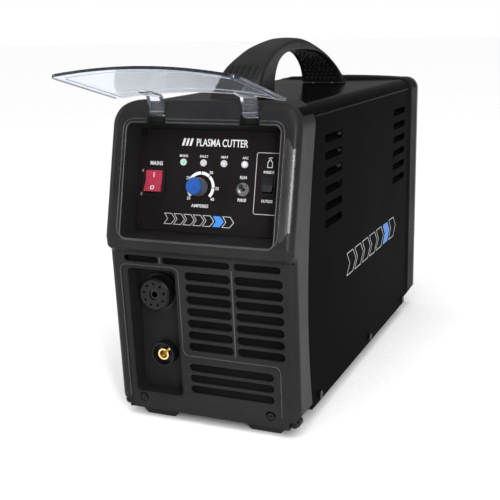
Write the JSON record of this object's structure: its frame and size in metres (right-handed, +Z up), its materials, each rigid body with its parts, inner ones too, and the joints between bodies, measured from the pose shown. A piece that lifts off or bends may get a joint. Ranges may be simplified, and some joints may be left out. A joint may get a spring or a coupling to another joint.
{
  "type": "plasma cutter unit",
  "caption": "Portable air plasma cutter case with a leaning control recess under a clear flap, a connector pocket, front grille, louvered sides, rear fan and an arched carrying handle.",
  "frame": {"origin": "centre of the bounding box at floor level, with the flap open", "axes": "+Z up, -Y towards the front controls, +X to the right side seen from the front"},
  "size_m": [0.215, 0.6504, 0.414],
  "materials": {
    "bezel_plastic": "fine spark texture, satin",
    "filter_foam": "open-cell foam",
    "panel_print": "matt printed film, near black",
    "black_steel": "black oxide",
    "switch_black": "semi-gloss",
    "rocker_red": "semi-gloss",
    "rocker_black": "semi-gloss",
    "zinc_steel": "zinc plated",
    "knob_grey": "satin",
    "knob_blue": "satin",
    "chrome_trim": "polished",
    "toggle_black": "gloss",
    "lamp_ring": "satin grey",
    "lamp_lens": "clear lenses, the first one lit green",
    "circuit_board": "solder mask",
    "socket_black": "semi-gloss",
    "nickel_brass": "nickel plated",
    "bare_brass": "bright",
    "clear_visor": "clear polycarbonate with a blue-grey tint",
    "cover_paint": "satin black powder coat",
    "foot_rubber": "matt",
    "guard_wire": "black coated wire",
    "fan_plastic": "satin",
    "handle_plastic": "fine texture, satin",
    "zinc_sheet": "zinc plated sheet",
    "capacitor_sleeve": "shrink sleeve",
    "heatsink_aluminium": "extruded",
    "ferrite": "sintered ferrite",
    "winding_tape": "varnished winding tape",
    "winding_copper": "enamelled copper",
    "motor_cast": "die cast",
    "bright_steel": "machined",
    "hose_blue": "polyurethane"
  },
  "bodies": {
    "case": {"front_bezel": "bezel_plastic", "filter_pad": "filter_foam", "front_bezel_left": "bezel_plastic", "front_grille": "bezel_plastic", "control_recess": "bezel_plastic", "connector_pocket": "bezel_plastic", "control_panel": "panel_print", "panel_screws": "black_steel", "power_switch_body": "switch_black", "air_switch_body": "switch_black", "potentiometer": "zinc_steel", "toggle_switch_body": "zinc_steel", "toggle_nut": "chrome_trim", "led_holders": "lamp_ring", "lamps": "lamp_lens", "control_board": "circuit_board", "torch_socket_flange": "socket_black", "torch_socket_body": "socket_black", "torch_socket_core": "nickel_brass", "earth_socket_body": "socket_black", "earth_socket_insert": "bare_brass", "visor_hinge_pins": "zinc_steel", "cover": "cover_paint", "cover_left": "cover_paint", "cover_right": "cover_paint", "case_screws": "black_steel", "base_tray": "cover_paint", "feet": "foot_rubber", "foot_screws": "zinc_steel", "rear_bezel": "bezel_plastic", "fan_guard": "guard_wire", "fan_frame": "fan_plastic", "cable_gland": "socket_black", "air_inlet_fitting": "nickel_brass", "handle": "handle_plastic", "handle_screws": "zinc_steel", "shelf_plate": "zinc_sheet", "inverter_board": "circuit_board", "capacitors": "capacitor_sleeve", "heatsinks": "heatsink_aluminium", "power_transistors": "switch_black", "transformer_core": "ferrite", "transformer_winding": "winding_tape", "output_choke": "winding_copper", "compressor_motor": "motor_cast", "compressor_crankcase": "motor_cast", "compressor_cylinder": "heatsink_aluminium", "compressor_head": "motor_cast", "compressor_mounts": "foot_rubber", "solenoid_valve": "bare_brass", "supply_hose": "hose_blue"},
    "visor": {"visor": "clear_visor"},
    "power_rocker": {"power_rocker": "rocker_red"},
    "air_rocker": {"air_rocker": "rocker_black"},
    "current_knob": {"knob_body": "knob_grey", "knob_cap": "knob_blue"},
    "toggle_lever": {"toggle_lever": "toggle_black"},
    "fan_rotor": {"fan_rotor": "fan_plastic"},
    "compressor_crank": {"compressor_crank": "bright_steel"},
    "compressor_piston": {"compressor_piston": "heatsink_aluminium"}
  },
  "joints": [
    {"name": "visor_hinge", "type": "hinge", "parent": "case", "child": "visor", "pos_m": [0, -0.19783, 0.342], "axis": [1, 0, 0], "range_deg": [0, 88]},
    {"name": "power_rocker_tilt", "type": "hinge", "parent": "case", "child": "power_rocker", "pos_m": [-0.064, -0.19065, 0.26705], "axis": [1, 0, 0], "range_deg": [0, 18]},
    {"name": "air_rocker_tilt", "type": "hinge", "parent": "case", "child": "air_rocker", "pos_m": [0.068, -0.19018, 0.269], "axis": [1, 0, 0], "range_deg": [0, 18]},
    {"name": "current_knob_turn", "type": "hinge", "parent": "case", "child": "current_knob", "pos_m": [-0.0085, -0.19148, 0.26365], "axis": [0, -0.9716, 0.2368], "range_deg": [0, 270]},
    {"name": "toggle_tilt", "type": "hinge", "parent": "case", "child": "toggle_lever", "pos_m": [0.0407, -0.18764, 0.26251], "axis": [1, 0, 0], "range_deg": [0, 24]},
    {"name": "fan_spin", "type": "hinge", "parent": "case", "child": "fan_rotor", "pos_m": [0, 0.29217, 0.239], "axis": [0, 1, 0], "continuous": true},
    {"name": "compressor_crank_turn", "type": "hinge", "parent": "case", "child": "compressor_crank", "pos_m": [0, 0.13217, 0.079], "axis": [0, 1, 0], "continuous": true},
    {"name": "compressor_piston_slide", "type": "slide", "parent": "case", "child": "compressor_piston", "axis": [0, 0, 1], "range_m": [-0.008, 0.008]}
  ]
}
